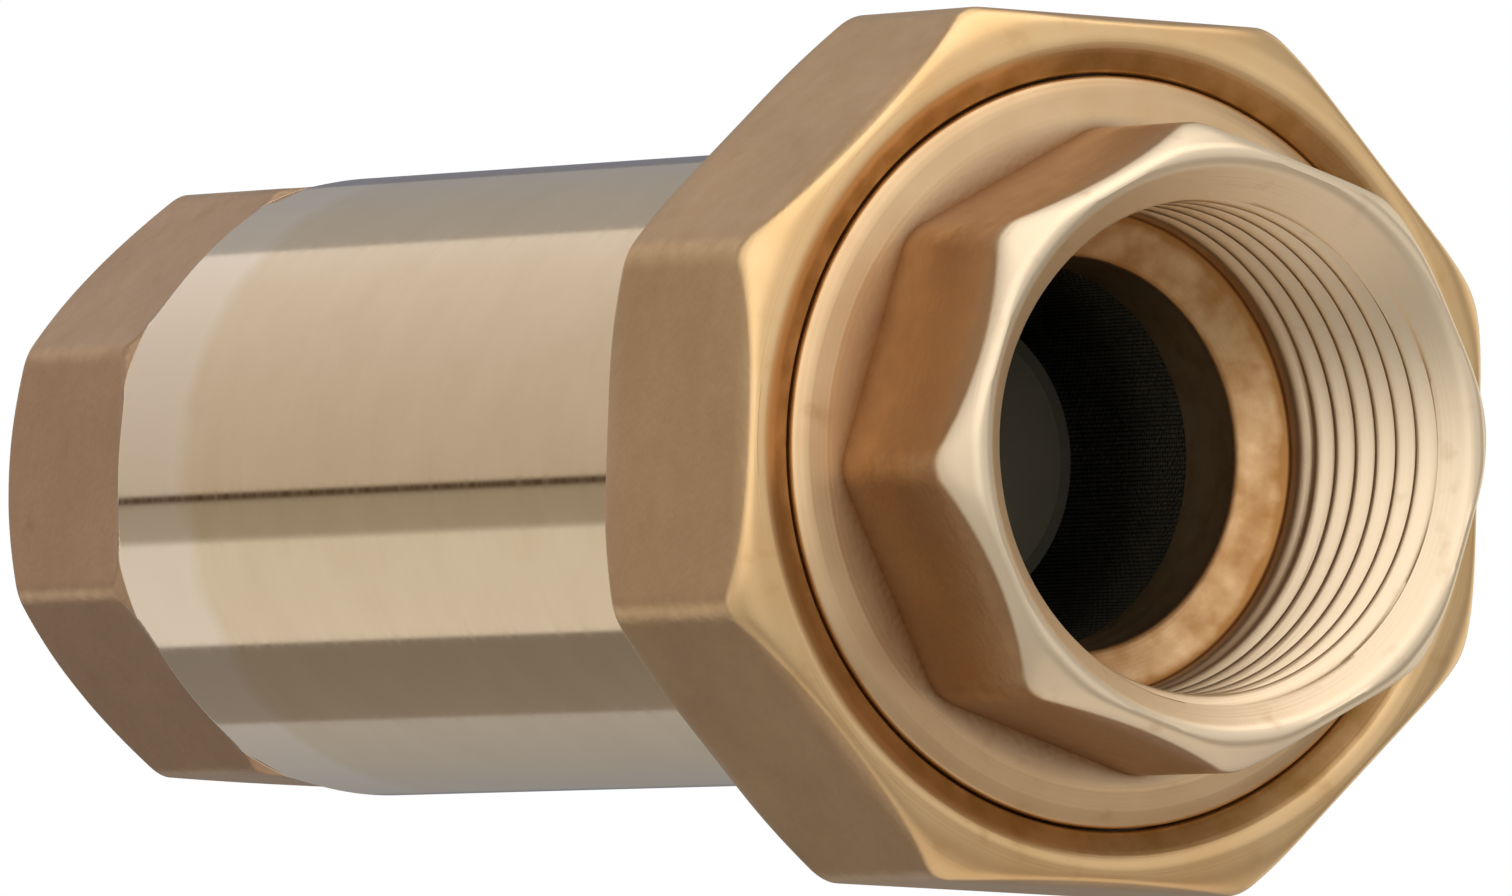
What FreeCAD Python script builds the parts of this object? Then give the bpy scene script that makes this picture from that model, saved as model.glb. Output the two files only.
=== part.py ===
import FreeCAD, Part
import math
import os

import Sketcher
from FreeCAD import Placement, Rotation, Vector

# An in-line magnetic filter for heating pipework. The water runs along Y: the front port faces -Y, the
# rear port +Y. Every station below is a distance in millimetres behind the front rim, and each
# finished piece is moved forward by half the overall length, so the origin is the middle of the filter.

SIZES = {
    "overall_length": 118.5,

    # 1 inch parallel pipe thread, cut in both ports. The bore stands at the thread's minor diameter.
    "port_thread_radius": 15.15,
    "port_mouth_radius": 17.45,
    "port_runout_front": 16.8,
    "port_runout_radius": 15.7,
    "port_thread_end": 17.4,
    "port_bore_front": 19.0,
    "port_bore_radius": 12.2,

    # Union tailpiece: octagon, round flange, spigot that guides it in the casing.
    "tail_across_flats": 37.5,
    "tail_turn": 29.0,
    "tail_bevel_radius": 18.45,
    "tail_bevel_length": 2.15,
    "tail_octagon_end": 13.4,
    "flange_front": 13.3,
    "flange_radius": 23.2,
    "flange_round": 0.7,
    "flange_rear": 18.9,
    "spigot_radius": 18.9,
    "spigot_rear": 24.9,

    # Split wire ring between the flange and the nut.
    "ring_groove_front": 15.9,
    "ring_groove_width": 1.7,
    "ring_groove_radius": 22.5,
    "ring_wire_radius": 0.8,
    "ring_centre_radius": 23.5,
    "ring_station": 16.75,
    "ring_sweep": 340.0,

    # Union nut, with a 50 mm fine thread of 2 mm pitch that stands at its pitch diameter.
    "nut_across_flats": 54.0,
    "nut_front": 12.9,
    "nut_rear": 30.3,
    "nut_front_bevel_radius": 27.5,
    "nut_front_bevel_length": 1.35,
    "nut_rear_bevel_radius": 27.2,
    "nut_rear_bevel_length": 1.65,
    "nut_hole_radius": 23.45,
    "nut_hole_mouth_radius": 25.2,
    "nut_lip_rear": 15.9,
    "nut_undercut_radius": 25.2,
    "nut_undercut_rear": 19.2,
    "nut_thread_radius": 24.38,
    "nut_thread_rear": 29.4,
    "nut_lead_radius": 25.2,

    # Casing: threaded head, round barrel and octagonal rear collar in one forging.
    "head_front": 20.7,
    "head_thread_radius": 24.31,
    "head_lead": 0.9,
    "head_rear": 29.3,
    "socket_radius": 19.3,
    "socket_rear": 26.2,
    "barrel_radius": 20.0,
    "barrel_front": 30.4,
    "barrel_rear": 104.2,
    "barrel_end_chamfer": 0.6,
    "chamber_radius": 17.0,
    "chamber_rear": 97.3,
    "collar_across_flats": 38.0,
    "collar_front": 103.6,
    "collar_bevel_radius": 18.9,
    "collar_bevel_length": 1.9,

    # Flat gasket between flange and head.
    "gasket_inner_radius": 19.5,
    "gasket_outer_radius": 22.9,
    "gasket_squeeze": 0.03,

    # Strainer basket: rim, perforated cage, woven liner and closed end plate.
    "rim_radius": 19.0,
    "rim_front": 24.95,
    "rim_rear": 26.15,
    "rim_collar_radius": 15.2,
    "rim_collar_rear": 31.0,
    "cage_front": 26.3,
    "cage_rear": 90.5,
    "cage_radius": 14.5,
    "cage_wall": 0.6,
    "cage_slot_length": 7.0,
    "cage_slot_width": 4.0,
    "cage_slot_pitch": 9.0,
    "cage_slot_first": 34.0,
    "cage_slots_around": 12,
    "liner_gap": 0.05,
    "liner_wall": 0.3,
    "plate_thickness": 1.5,
    "plate_radius": 14.5,

    # Magnet core: sealed sleeve with a cap at each end, held to the plate by one tie rod.
    "core_radius": 10.2,
    "sleeve_wall": 0.6,
    "nose_front": 34.0,
    "nose_round": 1.4,
    "sleeve_front": 40.0,
    "nose_plug_rear": 43.5,
    "sleeve_rear": 89.0,
    "tail_plug_front": 85.5,
    "plug_gap": 0.05,
    "seal_groove_offset": 1.0,
    "seal_groove_depth": 1.55,
    "seal_groove_width": 1.8,
    "seal_wire_radius": 0.75,
    "stack_front": 43.6,
    "disc_thickness": 1.3,
    "magnet_length": 6.8,
    "stack_radius": 9.4,
    "rod_radius": 2.0,
    "rod_gap": 0.1,
    "rod_front": 38.5,
    "rod_rear": 96.6,
    "washer_radius": 4.5,
    "washer_thickness": 0.8,
    "lock_nut_across_flats": 7.0,
    "lock_nut_thickness": 3.2,
}

MAGNET_COUNT = 5
CAGE_SLOT_ROWS = 6
OCTAGON_SIDES = 8
HEXAGON_SIDES = 6

# Cutting profiles reach this far past the metal they cut.
CUT_SPARE = 1.0

# Share of a round's radius between its middle and each face it joins.
ROUND_MIDDLE = 1 - math.cos(math.pi / 4)

doc = FreeCAD.newDocument("magnetic_filter")
sheet = doc.addObject("Spreadsheet::Sheet", "Sizes")


class Size:
    """A length that carries both its number and the sheet expression that drives it."""

    def __init__(self, number, words):
        self.number = number
        self.words = words

    def __add__(self, other):
        other = as_size(other)
        return Size(self.number + other.number, f"({self.words} + {other.words})")

    def __sub__(self, other):
        other = as_size(other)
        return Size(self.number - other.number, f"({self.words} - {other.words})")

    def __mul__(self, factor):
        return Size(self.number * factor, f"({self.words} * {factor})")


def as_size(value):
    """Give a plain number the same form as a size from the sheet."""
    return value if isinstance(value, Size) else Size(value, str(value))


def fill_sheet():
    """Write every driving size into the sheet, one aliased cell each."""
    for row, (alias, value) in enumerate(SIZES.items(), start=1):
        sheet.set(f"A{row}", alias)
        sheet.set(f"B{row}", str(value))
        sheet.setAlias(f"B{row}", alias)
    doc.recompute()


def size(alias):
    """Read one size from the sheet."""
    return Size(float(sheet.get(alias)), f"Sizes.{alias}")


def finish_piece(piece, label, turn=0.0):
    """Label a piece and move it from stations behind the front rim to the filter's own origin."""
    piece.Label = label
    half_length = size("overall_length").number / 2
    shift = Placement(Vector(0, -half_length, 0), Rotation(Vector(0, -1, 0), turn))
    piece.Placement = shift.multiply(piece.Placement)
    pieces.append(piece)


def new_body(name):
    """Start an empty body."""
    return doc.addObject("PartDesign::Body", name)


def new_sketch(body, name, role):
    """Put a sketch on one of the body's own origin planes."""
    sketch = body.newObject("Sketcher::SketchObject", name)
    plane = next(item for item in body.Origin.OriginFeatures if item.Role == role)
    sketch.AttachmentSupport = [(plane, "")]
    sketch.MapMode = "FlatFace"
    return sketch


def drive(sketch, kind, line, value):
    """Fix the start of a sketch line at a driven distance from the origin along one sketch axis."""
    if abs(value.number) < 1e-9:
        axis = -2 if kind == "DistanceX" else -1
        sketch.addConstraint(Sketcher.Constraint("PointOnObject", line, 1, axis))
        return
    index = sketch.addConstraint(Sketcher.Constraint(kind, -1, 1, line, 1, value.number))
    sketch.setExpression(f"Constraints[{index}]", value.words)


def outline(sketch, corners):
    """Draw a closed outline through driven corners."""
    corners = [(as_size(across), as_size(up)) for across, up in corners]
    count = len(corners)
    for number, (across, up) in enumerate(corners):
        next_across, next_up = corners[(number + 1) % count]
        start = Vector(across.number, up.number, 0)
        end = Vector(next_across.number, next_up.number, 0)
        sketch.addGeometry(Part.LineSegment(start, end), False)
    for line in range(count):
        sketch.addConstraint(Sketcher.Constraint("Coincident", line, 2, (line + 1) % count, 1))
    for line, (across, up) in enumerate(corners):
        drive(sketch, "DistanceX", line, across)
        drive(sketch, "DistanceY", line, up)


def turned(body, name, profile, cut=False):
    """Revolve a profile of (station, radius) corners about Y, adding material or cutting it."""
    sketch = new_sketch(body, f"{name}_profile", "YZ_Plane")
    outline(sketch, profile)
    doc.recompute()
    before = body.Shape.Volume if cut else 0.0
    feature = body.newObject("PartDesign::Groove" if cut else "PartDesign::Revolution", name)
    feature.Profile = sketch
    feature.ReferenceAxis = (sketch, ["H_Axis"])
    feature.Angle = 360.0
    doc.recompute()
    if cut and body.Shape.Volume >= before - 1e-6:
        raise RuntimeError(f"{name} removed nothing")
    return feature


def prism(body, name, sides, across_flats, front, rear):
    """Extrude a regular polygon along Y, with one flat facing straight up."""
    sketch = new_sketch(body, f"{name}_outline", "XZ_Plane")
    sketch.setExpression("AttachmentOffset.Base.z", f"-{as_size(front).words}")
    half_step = math.pi / sides
    corner_radius = across_flats * (0.5 / math.cos(half_step))
    corners = []
    for number in range(sides):
        angle = math.pi / 2 - half_step + 2 * half_step * number
        corners.append((corner_radius * round(math.cos(angle), 9), corner_radius * round(math.sin(angle), 9)))
    outline(sketch, corners)
    pad = body.newObject("PartDesign::Pad", name)
    pad.Profile = sketch
    pad.setExpression("Length", (as_size(rear) - front).words)
    pad.Reversed = True
    doc.recompute()
    return pad


def bevel(body, name, end, inner_radius, outer_radius, length, towards):
    """Turn the corners off a prism's end: from inner_radius at the end face out to its corners."""
    slope = length * (CUT_SPARE / (outer_radius.number - inner_radius.number))
    depth = length + slope
    past_corner = outer_radius + CUT_SPARE
    far_end = end + depth if towards > 0 else end - depth
    turned(body, name, [(end, inner_radius), (end, past_corner), (far_end, past_corner)], cut=True)


def octagon_corner(across_flats):
    """Radius over the corners of an octagon."""
    return across_flats * (0.5 / math.cos(math.pi / OCTAGON_SIDES))


def ring(label, front, rear, inner, outer):
    """A plain turned ring with the given stations and radii."""
    body = new_body(label)
    turned(body, f"{label}_turning", [(front, inner), (rear, inner), (rear, outer), (front, outer)])
    finish_piece(body, label)


def port_profile(rim, towards):
    """Corners of a threaded port from its rim inwards: countersink, thread, run-out, cone to the bore."""
    mouth = size("port_mouth_radius")
    thread = size("port_thread_radius")
    runout = size("port_runout_radius")
    steps = [(Size(0.0, "0"), as_size(0.0)), (Size(0.0, "0"), mouth), (mouth - thread, thread),
             (size("port_runout_front"), thread), (size("port_runout_front"), runout),
             (size("port_thread_end"), runout), (size("port_thread_end"), thread),
             (size("port_bore_front"), size("port_bore_radius"))]
    if towards > 0:
        return [(rim + depth, radius) for depth, radius in steps]
    return [(rim - depth, radius) for depth, radius in steps]


def make_tailpiece():
    """Octagon with the front port, round flange behind it and a spigot that enters the casing."""
    body = new_body("tailpiece")
    across = size("tail_across_flats")
    prism(body, "tail_octagon", OCTAGON_SIDES, across, 0.0, size("tail_octagon_end"))
    bevel(body, "tail_bevel", Size(0.0, "0"), size("tail_bevel_radius"), octagon_corner(across),
          size("tail_bevel_length"), 1)
    front = size("flange_front")
    rear = size("flange_rear")
    radius = size("flange_radius")
    edge = size("flange_round")
    groove_front = size("ring_groove_front")
    groove_rear = groove_front + size("ring_groove_width")
    groove = size("ring_groove_radius")
    turned(body, "tail_flange", [
        (front, 0.0), (front, radius - edge), (front + edge, radius), (groove_front, radius),
        (groove_front, groove), (groove_rear, groove), (groove_rear, radius), (rear, radius),
        (rear, size("spigot_radius")), (size("spigot_rear"), size("spigot_radius")),
        (size("spigot_rear"), 0.0)])
    port = port_profile(Size(0.0, "0"), 1)
    spigot_rear = size("spigot_rear")
    turned(body, "tail_port", port + [(spigot_rear, size("port_bore_radius")), (spigot_rear, 0.0)], cut=True)
    finish_piece(body, "tailpiece", size("tail_turn").number)


def make_retaining_ring():
    """Split ring of round wire that carries the nut's thrust into the tailpiece's flange."""
    wire = doc.addObject("Part::Torus", "nut_retaining_ring")
    wire.setExpression("Radius1", "Sizes.ring_centre_radius")
    wire.setExpression("Radius2", "Sizes.ring_wire_radius")
    wire.setExpression("Angle3", "Sizes.ring_sweep")
    wire.Placement = Placement(Vector(0, size("ring_station").number, 0), Rotation(Vector(1, 0, 0), 90))
    finish_piece(wire, "nut_retaining_ring")


def make_union_nut():
    """Large octagonal nut: a lip at the front bears on the ring, the thread at the rear on the casing."""
    body = new_body("union_nut")
    across = size("nut_across_flats")
    front = size("nut_front")
    rear = size("nut_rear")
    corner = octagon_corner(across)
    prism(body, "nut_octagon", OCTAGON_SIDES, across, front, rear)
    bevel(body, "nut_front_bevel", front, size("nut_front_bevel_radius"), corner,
          size("nut_front_bevel_length"), 1)
    bevel(body, "nut_rear_bevel", rear, size("nut_rear_bevel_radius"), corner,
          size("nut_rear_bevel_length"), -1)
    hole = size("nut_hole_radius")
    mouth = size("nut_hole_mouth_radius")
    thread = size("nut_thread_radius")
    turned(body, "nut_bore", [
        (front, 0.0), (front, mouth), (front + mouth - hole, hole), (size("nut_lip_rear"), hole),
        (size("nut_lip_rear"), size("nut_undercut_radius")),
        (size("nut_undercut_rear"), size("nut_undercut_radius")), (size("nut_undercut_rear"), thread),
        (size("nut_thread_rear"), thread), (rear, size("nut_lead_radius")), (rear, 0.0)], cut=True)
    finish_piece(body, "union_nut")


def make_casing():
    """Forged brass casing: threaded head, round barrel, octagonal collar with the rear port."""
    body = new_body("casing")
    across = size("collar_across_flats")
    rear = size("overall_length")
    prism(body, "collar_octagon", OCTAGON_SIDES, across, size("collar_front"), rear)
    bevel(body, "collar_bevel", rear, size("collar_bevel_radius"), octagon_corner(across),
          size("collar_bevel_length"), -1)
    head_front = size("head_front")
    head = size("head_thread_radius")
    lead = size("head_lead")
    barrel = size("barrel_radius")
    barrel_rear = size("barrel_rear")
    chamfer = size("barrel_end_chamfer")
    turned(body, "barrel_and_head", [
        (head_front, 0.0), (head_front, head - lead), (head_front + lead, head), (size("head_rear"), head),
        (size("barrel_front"), barrel), (barrel_rear, barrel), (barrel_rear + chamfer, barrel - chamfer),
        (barrel_rear + chamfer, 0.0)])
    port = port_profile(rear, -1)
    chamber_rear = size("chamber_rear")
    turned(body, "casing_bore", [
        (head_front, 0.0), (head_front, size("socket_radius")), (size("socket_rear"), size("socket_radius")),
        (size("socket_rear"), size("chamber_radius")), (chamber_rear, size("chamber_radius")),
        (chamber_rear, size("port_bore_radius"))] + port[::-1], cut=True)
    finish_piece(body, "casing")


def make_gasket():
    """Flat rubber gasket that the union squeezes between flange and head."""
    squeeze = size("gasket_squeeze")
    ring("union_gasket", size("flange_rear") + squeeze, size("head_front") - squeeze,
         size("gasket_inner_radius"), size("gasket_outer_radius"))


def make_basket():
    """Strainer basket, open to the front, which lifts out with the magnet core in its middle."""
    cage_radius = size("cage_radius")
    gap = size("liner_gap")
    body = new_body("basket_rim")
    collar = size("rim_collar_radius")
    turned(body, "rim_turning", [
        (size("rim_front"), cage_radius + gap), (size("rim_front"), size("rim_radius")),
        (size("rim_rear"), size("rim_radius")), (size("rim_rear"), collar),
        (size("rim_collar_rear"), collar), (size("rim_collar_rear"), cage_radius + gap)])
    finish_piece(body, "basket_rim")

    body = new_body("basket_cage")
    inner = cage_radius - size("cage_wall")
    turned(body, "cage_tube", [
        (size("cage_front"), inner), (size("cage_rear"), inner), (size("cage_rear"), cage_radius),
        (size("cage_front"), cage_radius)])
    solid_volume = body.Shape.Volume
    sketch = new_sketch(body, "cage_slots_outline", "XY_Plane")
    half_width = size("cage_slot_width") * 0.5
    for row in range(CAGE_SLOT_ROWS):
        slot_front = size("cage_slot_first") + size("cage_slot_pitch") * row
        slot_rear = slot_front + size("cage_slot_length")
        add_slot(sketch, half_width, slot_front, slot_rear)
    doc.recompute()
    pocket = body.newObject("PartDesign::Pocket", "cage_slot_column")
    pocket.Profile = sketch
    pocket.Type = "Length"
    pocket.setExpression("Length", (cage_radius + CUT_SPARE).words)
    pocket.Reversed = True
    doc.recompute()
    around = body.newObject("PartDesign::PolarPattern", "cage_slots_around")
    around.Originals = [pocket]
    around.Axis = (next(item for item in body.Origin.OriginFeatures if item.Role == "Y_Axis"), [""])
    around.Angle = 360.0
    around.setExpression("Occurrences", "Sizes.cage_slots_around")
    body.Tip = around
    doc.recompute()
    if body.Shape.Volume > 0.8 * solid_volume:
        raise RuntimeError("the cage's slots are missing")
    finish_piece(body, "basket_cage")

    ring("strainer_liner", size("cage_front"), size("cage_rear") - gap, inner - gap - size("liner_wall"),
         inner - gap)
    ring("basket_end_plate", size("cage_rear"), size("cage_rear") + size("plate_thickness"),
         size("rod_radius") + size("rod_gap"), size("plate_radius"))


def add_slot(sketch, half_width, slot_front, slot_rear):
    """Add one four-sided slot to a sketch that may already hold others."""
    corners = [(half_width * -1, slot_front), (half_width, slot_front), (half_width, slot_rear),
               (half_width * -1, slot_rear)]
    first = sketch.GeometryCount
    count = len(corners)
    for number, (across, along) in enumerate(corners):
        next_across, next_along = corners[(number + 1) % count]
        start = Vector(across.number, along.number, 0)
        end = Vector(next_across.number, next_along.number, 0)
        sketch.addGeometry(Part.LineSegment(start, end), False)
    for number, (across, along) in enumerate(corners):
        line = first + number
        sketch.addConstraint(Sketcher.Constraint("Coincident", line, 2, first + (number + 1) % count, 1))
        drive(sketch, "DistanceX", line, across)
        drive(sketch, "DistanceY", line, along)


def make_core_shell():
    """Stainless sleeve and its two moulded caps, each with a seal in a groove."""
    core = size("core_radius")
    plug = core - size("sleeve_wall") - size("plug_gap")
    groove = plug - size("seal_groove_depth")
    width = size("seal_groove_width")
    hole = size("rod_radius") + size("rod_gap")
    sleeve_front = size("sleeve_front")
    sleeve_rear = size("sleeve_rear")
    ring("core_sleeve", sleeve_front, sleeve_rear, core - size("sleeve_wall"), core)

    body = new_body("core_nose_cap")
    nose = size("nose_front")
    edge = size("nose_round")
    middle = edge * ROUND_MIDDLE
    groove_front = sleeve_front + size("seal_groove_offset")
    turned(body, "nose_turning", [
        (nose, 0.0), (nose, core - edge), (nose + middle, core - middle), (nose + edge, core),
        (sleeve_front, core), (sleeve_front, plug), (groove_front, plug), (groove_front, groove),
        (groove_front + width, groove), (groove_front + width, plug), (size("nose_plug_rear"), plug),
        (size("nose_plug_rear"), hole), (size("rod_front"), hole), (size("rod_front"), 0.0)])
    finish_piece(body, "core_nose_cap")

    body = new_body("core_tail_cap")
    groove_rear = sleeve_rear - size("seal_groove_offset")
    turned(body, "tail_cap_turning", [
        (size("tail_plug_front"), hole), (size("tail_plug_front"), plug), (groove_rear - width, plug),
        (groove_rear - width, groove), (groove_rear, groove), (groove_rear, plug), (sleeve_rear, plug),
        (sleeve_rear, core), (size("cage_rear"), core), (size("cage_rear"), hole)])
    finish_piece(body, "core_tail_cap")

    seal_radius = plug - size("seal_wire_radius")
    seals = {"nose_cap_o_ring": groove_front + width * 0.5, "tail_cap_o_ring": groove_rear - width * 0.5}
    for label, station in seals.items():
        seal = doc.addObject("Part::Torus", label)
        seal.setExpression("Radius1", seal_radius.words)
        seal.setExpression("Radius2", "Sizes.seal_wire_radius")
        seal.Placement = Placement(Vector(0, station.number, 0), Rotation(Vector(1, 0, 0), 90))
        finish_piece(seal, label)


def make_magnet_stack():
    """Ring magnets with a soft iron disc between each pair and at both ends of the stack."""
    inner = size("rod_radius") + size("rod_gap")
    outer = size("stack_radius")
    station = size("stack_front")
    for number in range(1, MAGNET_COUNT + 1):
        rear = station + size("disc_thickness")
        ring(f"pole_disc_{number}", station, rear, inner, outer)
        station = rear + size("magnet_length")
        ring(f"magnet_{number}", rear, station, inner, outer)
    ring(f"pole_disc_{MAGNET_COUNT + 1}", station, station + size("disc_thickness"), inner, outer)


def make_tie_rod():
    """Rod from the nose cap through the stack and the end plate, with its washer and lock nut."""
    rod = doc.addObject("Part::Cylinder", "core_tie_rod")
    rod.setExpression("Radius", "Sizes.rod_radius")
    rod.setExpression("Height", "Sizes.rod_rear - Sizes.rod_front")
    rod.Placement = Placement(Vector(0, size("rod_front").number, 0), Rotation(Vector(1, 0, 0), -90))
    finish_piece(rod, "core_tie_rod")

    hole = size("rod_radius") + size("rod_gap")
    washer_front = size("cage_rear") + size("plate_thickness")
    washer_rear = washer_front + size("washer_thickness")
    ring("core_lock_washer", washer_front, washer_rear, hole, size("washer_radius"))

    body = new_body("core_lock_nut")
    rear = washer_rear + size("lock_nut_thickness")
    prism(body, "lock_nut_hexagon", HEXAGON_SIDES, size("lock_nut_across_flats"), washer_rear, rear)
    turned(body, "lock_nut_hole", [
        (washer_rear, 0.0), (washer_rear, hole), (rear, hole), (rear, 0.0)], cut=True)
    finish_piece(body, "core_lock_nut")


def check_and_export():
    """Stop on any failed object or bad shape, then write one file for each piece."""
    doc.recompute()
    for item in doc.Objects:
        if "Invalid" in item.State or "Error" in item.State:
            raise RuntimeError(f"{item.Label} failed: {item.State}")
    os.makedirs("parts", exist_ok=True)
    for piece in pieces:
        if piece.Shape.isNull() or not piece.Shape.isValid():
            raise RuntimeError(f"{piece.Label} has a bad shape")
    for piece in pieces:
        piece.Shape.exportStep(f"parts/{piece.Label}.step")
        print(f"{piece.Label}: {piece.Shape.Volume:.1f} mm3, {len(piece.Shape.Solids)} solid")


pieces = []
fill_sheet()
make_casing()
make_tailpiece()
make_union_nut()
make_retaining_ring()
make_gasket()
make_basket()
make_core_shell()
make_magnet_stack()
make_tie_rod()
check_and_export()
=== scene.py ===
import math

import bpy
from mathutils import Matrix, Vector


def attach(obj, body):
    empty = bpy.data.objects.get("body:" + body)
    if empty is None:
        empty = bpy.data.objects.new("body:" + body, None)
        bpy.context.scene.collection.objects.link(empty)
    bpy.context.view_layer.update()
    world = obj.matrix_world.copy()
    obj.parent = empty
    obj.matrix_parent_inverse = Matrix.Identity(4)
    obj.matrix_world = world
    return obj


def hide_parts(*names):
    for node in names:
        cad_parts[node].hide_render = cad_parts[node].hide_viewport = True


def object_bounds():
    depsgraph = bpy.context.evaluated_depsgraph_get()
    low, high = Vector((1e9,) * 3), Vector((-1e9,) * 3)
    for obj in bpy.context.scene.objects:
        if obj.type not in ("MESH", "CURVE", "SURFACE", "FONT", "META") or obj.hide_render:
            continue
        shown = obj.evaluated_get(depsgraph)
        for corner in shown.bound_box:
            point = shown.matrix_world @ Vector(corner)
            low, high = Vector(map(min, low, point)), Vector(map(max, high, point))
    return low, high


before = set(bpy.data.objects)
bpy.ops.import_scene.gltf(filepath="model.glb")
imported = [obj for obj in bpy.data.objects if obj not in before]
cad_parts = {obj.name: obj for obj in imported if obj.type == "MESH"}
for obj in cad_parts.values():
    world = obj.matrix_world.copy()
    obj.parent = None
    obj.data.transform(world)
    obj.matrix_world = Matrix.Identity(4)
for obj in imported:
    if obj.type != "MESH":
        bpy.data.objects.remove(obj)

cad_low, cad_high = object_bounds()
MM = 0.001


# ------------------------------------------------------------------ camera
# A very long lens looks at the filter from its front left, almost level with the pipe axis.
# From so far away the octagons keep their true proportions.
CAMERA_AZIMUTH = math.radians(-31.28)
CAMERA_ELEVATION = math.radians(-2.90)
CAMERA_ROLL = math.radians(1.96)
CAMERA_DISTANCE = 1.6006
AIM_ALONG_AXIS = -12.9 * MM
AIM_SIDEWAYS = -5.15 * MM
AIM_UP = 1.08 * MM

view_back = Vector((math.sin(CAMERA_AZIMUTH) * math.cos(CAMERA_ELEVATION),
                    -math.cos(CAMERA_AZIMUTH) * math.cos(CAMERA_ELEVATION),
                    math.sin(CAMERA_ELEVATION)))
level_side = Vector((0, 0, 1)).cross(view_back).normalized()
camera_roll = Matrix.Rotation(CAMERA_ROLL, 3, view_back)
view_side = camera_roll @ level_side
view_up = camera_roll @ view_back.cross(level_side)
aim = Vector((0, AIM_ALONG_AXIS, 0)) + view_side * AIM_SIDEWAYS + view_up * AIM_UP

camera_data = bpy.data.cameras.new("camera")
camera_data.lens = 606.0
camera_data.sensor_width = 36.0
camera_data.clip_end = 10.0
camera = bpy.data.objects.new("camera", camera_data)
bpy.context.scene.collection.objects.link(camera)
camera.matrix_world = Matrix.Translation(aim + view_back * CAMERA_DISTANCE) @ Matrix(
    (view_side, view_up, view_back)).transposed().to_4x4()
bpy.context.scene.camera = camera
bpy.context.scene.view_settings.view_transform = "Standard"


# ------------------------------------------------------------------ tailpiece
# The smaller octagon: a hot-forged brass end with shot-blasted flats, turned on its face, its round
# flange and its spigot, and threaded for a 1 inch pipe. It slips into the casing behind the nut.
# Stations are millimetres behind its front rim, and so are all other stations in this file.
RIM_Y = cad_low.y
SEGMENTS = 320
OCTANT = math.pi / 4
CORNER_CROWDING = 0.78

PORT_PITCH = 2.309
PORT_RADIUS = 15.15
PORT_MOUTH_RADIUS = 17.45
PORT_THREAD_DEPTH = 0.98
PORT_THREAD_END = 16.4
PORT_SEAT = 16.9
PORT_DEPTH = 19.0
BORE_RADIUS = 12.2
TAIL_SKIN_RADIUS = 17.9
TAIL_APOTHEM = 18.75
TAIL_FLAT_ANGLE = math.radians(16.0)
TAIL_BLANK = 20.6
TAIL_OCTAGON_END = 13.25
TAIL_CORNER_ROUNDING = 3.0
TAIL_ROLL_LENGTH = 3.3
TAIL_ROLL_DEPTH = 1.05


def bring_together(pieces):
    """Leave just these objects selected, the first one active."""
    bpy.ops.object.select_all(action="DESELECT")
    for piece in pieces:
        piece.select_set(True)
    bpy.context.view_layer.objects.active = pieces[0]


def lathe_path(corners):
    """Points of a closed turning profile. A corner is (station, radius, rounding, rows to the next)."""
    spots = [Vector(corner[:2]) for corner in corners]
    count = len(corners)
    path = []
    for number, (station, radius, rounding, rows) in enumerate(corners):
        here = spots[number]
        after = spots[(number + 1) % count]
        start = here + (spots[number - 1] - here).normalized() * rounding
        end = here + (after - here).normalized() * rounding
        bends = 0 if not rounding else 4 if rounding < 0.6 else 12
        for bend in range(bends):
            step = bend / bends
            path.append(start.lerp(here, step).lerp(here.lerp(end, step), step))
        next_rounding = corners[(number + 1) % count][2]
        next_start = after + (here - after).normalized() * next_rounding
        for row in range(rows):
            path.append(end.lerp(next_start, row / rows))
    return path


def turn_on_lathe(name, corners, flat_angle):
    """Spin a closed profile about the pipe axis into a solid whose segments crowd at octagon corners."""
    path = lathe_path(corners)
    bpy.ops.object.select_all(action="DESELECT")
    bpy.ops.mesh.primitive_circle_add(vertices=len(path), radius=MM, fill_type="NOTHING")
    piece = bpy.context.object
    piece.name = name
    piece.data.name = name
    for vertex, point in zip(piece.data.vertices, path):
        vertex.co = Vector((0, RIM_Y + point[0] * MM, point[1] * MM))
    bpy.ops.object.mode_set(mode="EDIT")
    bpy.ops.mesh.select_all(action="SELECT")
    bpy.ops.mesh.spin(steps=SEGMENTS, angle=2 * math.pi, center=(0, 0, 0), axis=(0, 1, 0))
    bpy.ops.mesh.select_all(action="SELECT")
    bpy.ops.mesh.remove_doubles(threshold=2e-6)
    bpy.ops.mesh.normals_make_consistent(inside=False)
    bpy.ops.object.mode_set(mode="OBJECT")
    for vertex in piece.data.vertices:
        angle = math.atan2(vertex.co.x, vertex.co.z)
        radius = math.hypot(vertex.co.x, vertex.co.z)
        swing = 2 * math.pi * (angle - flat_angle) / OCTANT
        angle += CORNER_CROWDING * math.sin(swing) * OCTANT / (2 * math.pi)
        vertex.co.x = radius * math.sin(angle)
        vertex.co.z = radius * math.cos(angle)
    return piece


def reshape(piece, rule):
    """Move each point in or out by a rule, which also says what the surface looks like there."""
    looks_of_piece = {}
    for vertex in piece.data.vertices:
        station = (vertex.co.y - RIM_Y) / MM
        radius = math.hypot(vertex.co.x, vertex.co.z)
        angle = math.atan2(vertex.co.x, vertex.co.z)
        new_radius, looks = rule(station, angle, radius / MM)
        vertex.co.x *= new_radius * MM / radius
        vertex.co.z *= new_radius * MM / radius
        for name, amount in looks.items():
            if name not in looks_of_piece:
                looks_of_piece[name] = [0.0] * len(piece.data.vertices)
            looks_of_piece[name][vertex.index] = min(1.0, max(0.0, amount))
    for name, column in looks_of_piece.items():
        piece.data.attributes.new(name, "FLOAT", "POINT").data.foreach_set("value", column)
    bring_together([piece])
    bpy.ops.object.shade_smooth_by_angle(angle=math.radians(38))


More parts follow.
